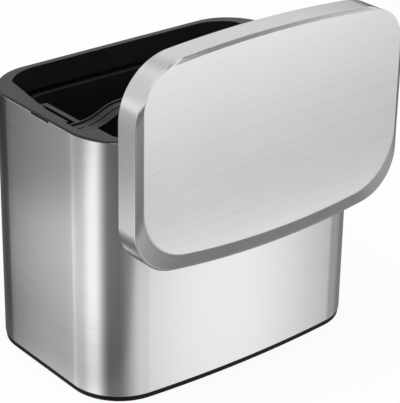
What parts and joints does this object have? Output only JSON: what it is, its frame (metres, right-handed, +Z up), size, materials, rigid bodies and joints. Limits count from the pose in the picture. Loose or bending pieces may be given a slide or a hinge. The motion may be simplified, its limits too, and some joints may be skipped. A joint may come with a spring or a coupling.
{
  "type": "hanging compost bin",
  "caption": "Steel-sided kitchen compost bin with a bowed front, a lift-out bucket on a folding bail, and a steel lid hung on its front rim.",
  "frame": {"origin": "on the surface under the feet, below the middle of the whole object with its lid hung on the front", "axes": "+Z up, -Y out of the bin's front where the lid hangs, +X to the right seen from the front"},
  "size_m": [0.246, 0.1974, 0.274],
  "materials": {
    "shell_steel": "fine horizontal brushing, satin",
    "lid_steel": "fine brushing along the width, satin",
    "plate_steel": "plain satin sheet",
    "pin_steel": "polished pin",
    "rivet_aluminium": "satin",
    "screw_steel": "plated",
    "base_plastic": "fine satin moulding",
    "collar_plastic": "fine satin moulding",
    "bucket_plastic": "satin moulding",
    "bail_plastic": "satin moulding",
    "liner_plastic": "satin moulding",
    "cover_plastic": "satin moulding",
    "hook_plastic": "satin moulding",
    "foot_rubber": "matt rubber",
    "seal_rubber": "soft matt rubber",
    "bumper_rubber": "matt rubber",
    "filter_felt": "carbon felt"
  },
  "bodies": {
    "bin": {"outer_shell": "shell_steel", "base_pan": "base_plastic", "foot_pads": "foot_rubber", "top_collar": "collar_plastic", "hanger_plate": "plate_steel", "hanger_rivets": "rivet_aluminium"},
    "bucket": {"inner_bucket": "bucket_plastic"},
    "bail": {"bail_handle": "bail_plastic", "bail_pin_left": "pin_steel", "bail_pin_right": "pin_steel"},
    "lid": {"lid_shell": "lid_steel", "lid_liner": "liner_plastic", "lid_screws": "screw_steel", "hook_screws": "screw_steel", "lid_seal": "seal_rubber", "lid_bumpers": "bumper_rubber", "lid_hook_left": "hook_plastic", "lid_hook_right": "hook_plastic"},
    "filter": {"filter_cover": "cover_plastic", "filter_pad": "filter_felt"}
  },
  "joints": [
    {"name": "bucket_lift", "type": "slide", "parent": "bin", "child": "bucket", "axis": [0, 0, 1], "range_m": [0, 0.22]},
    {"name": "bail_swing", "type": "hinge", "parent": "bucket", "child": "bail", "pos_m": [0, 0.0303, 0.1953], "axis": [-1, 0, 0], "range_deg": [0, 95]},
    {"name": "lid_lift", "type": "slide", "parent": "bin", "child": "lid", "axis": [0, 0, 1], "range_m": [0, 0.12]},
    {"name": "filter_turn", "type": "hinge", "parent": "lid", "child": "filter", "pos_m": [0, -0.09, 0.1926], "axis": [0, -1, 0], "range_deg": [0, 40]}
  ]
}
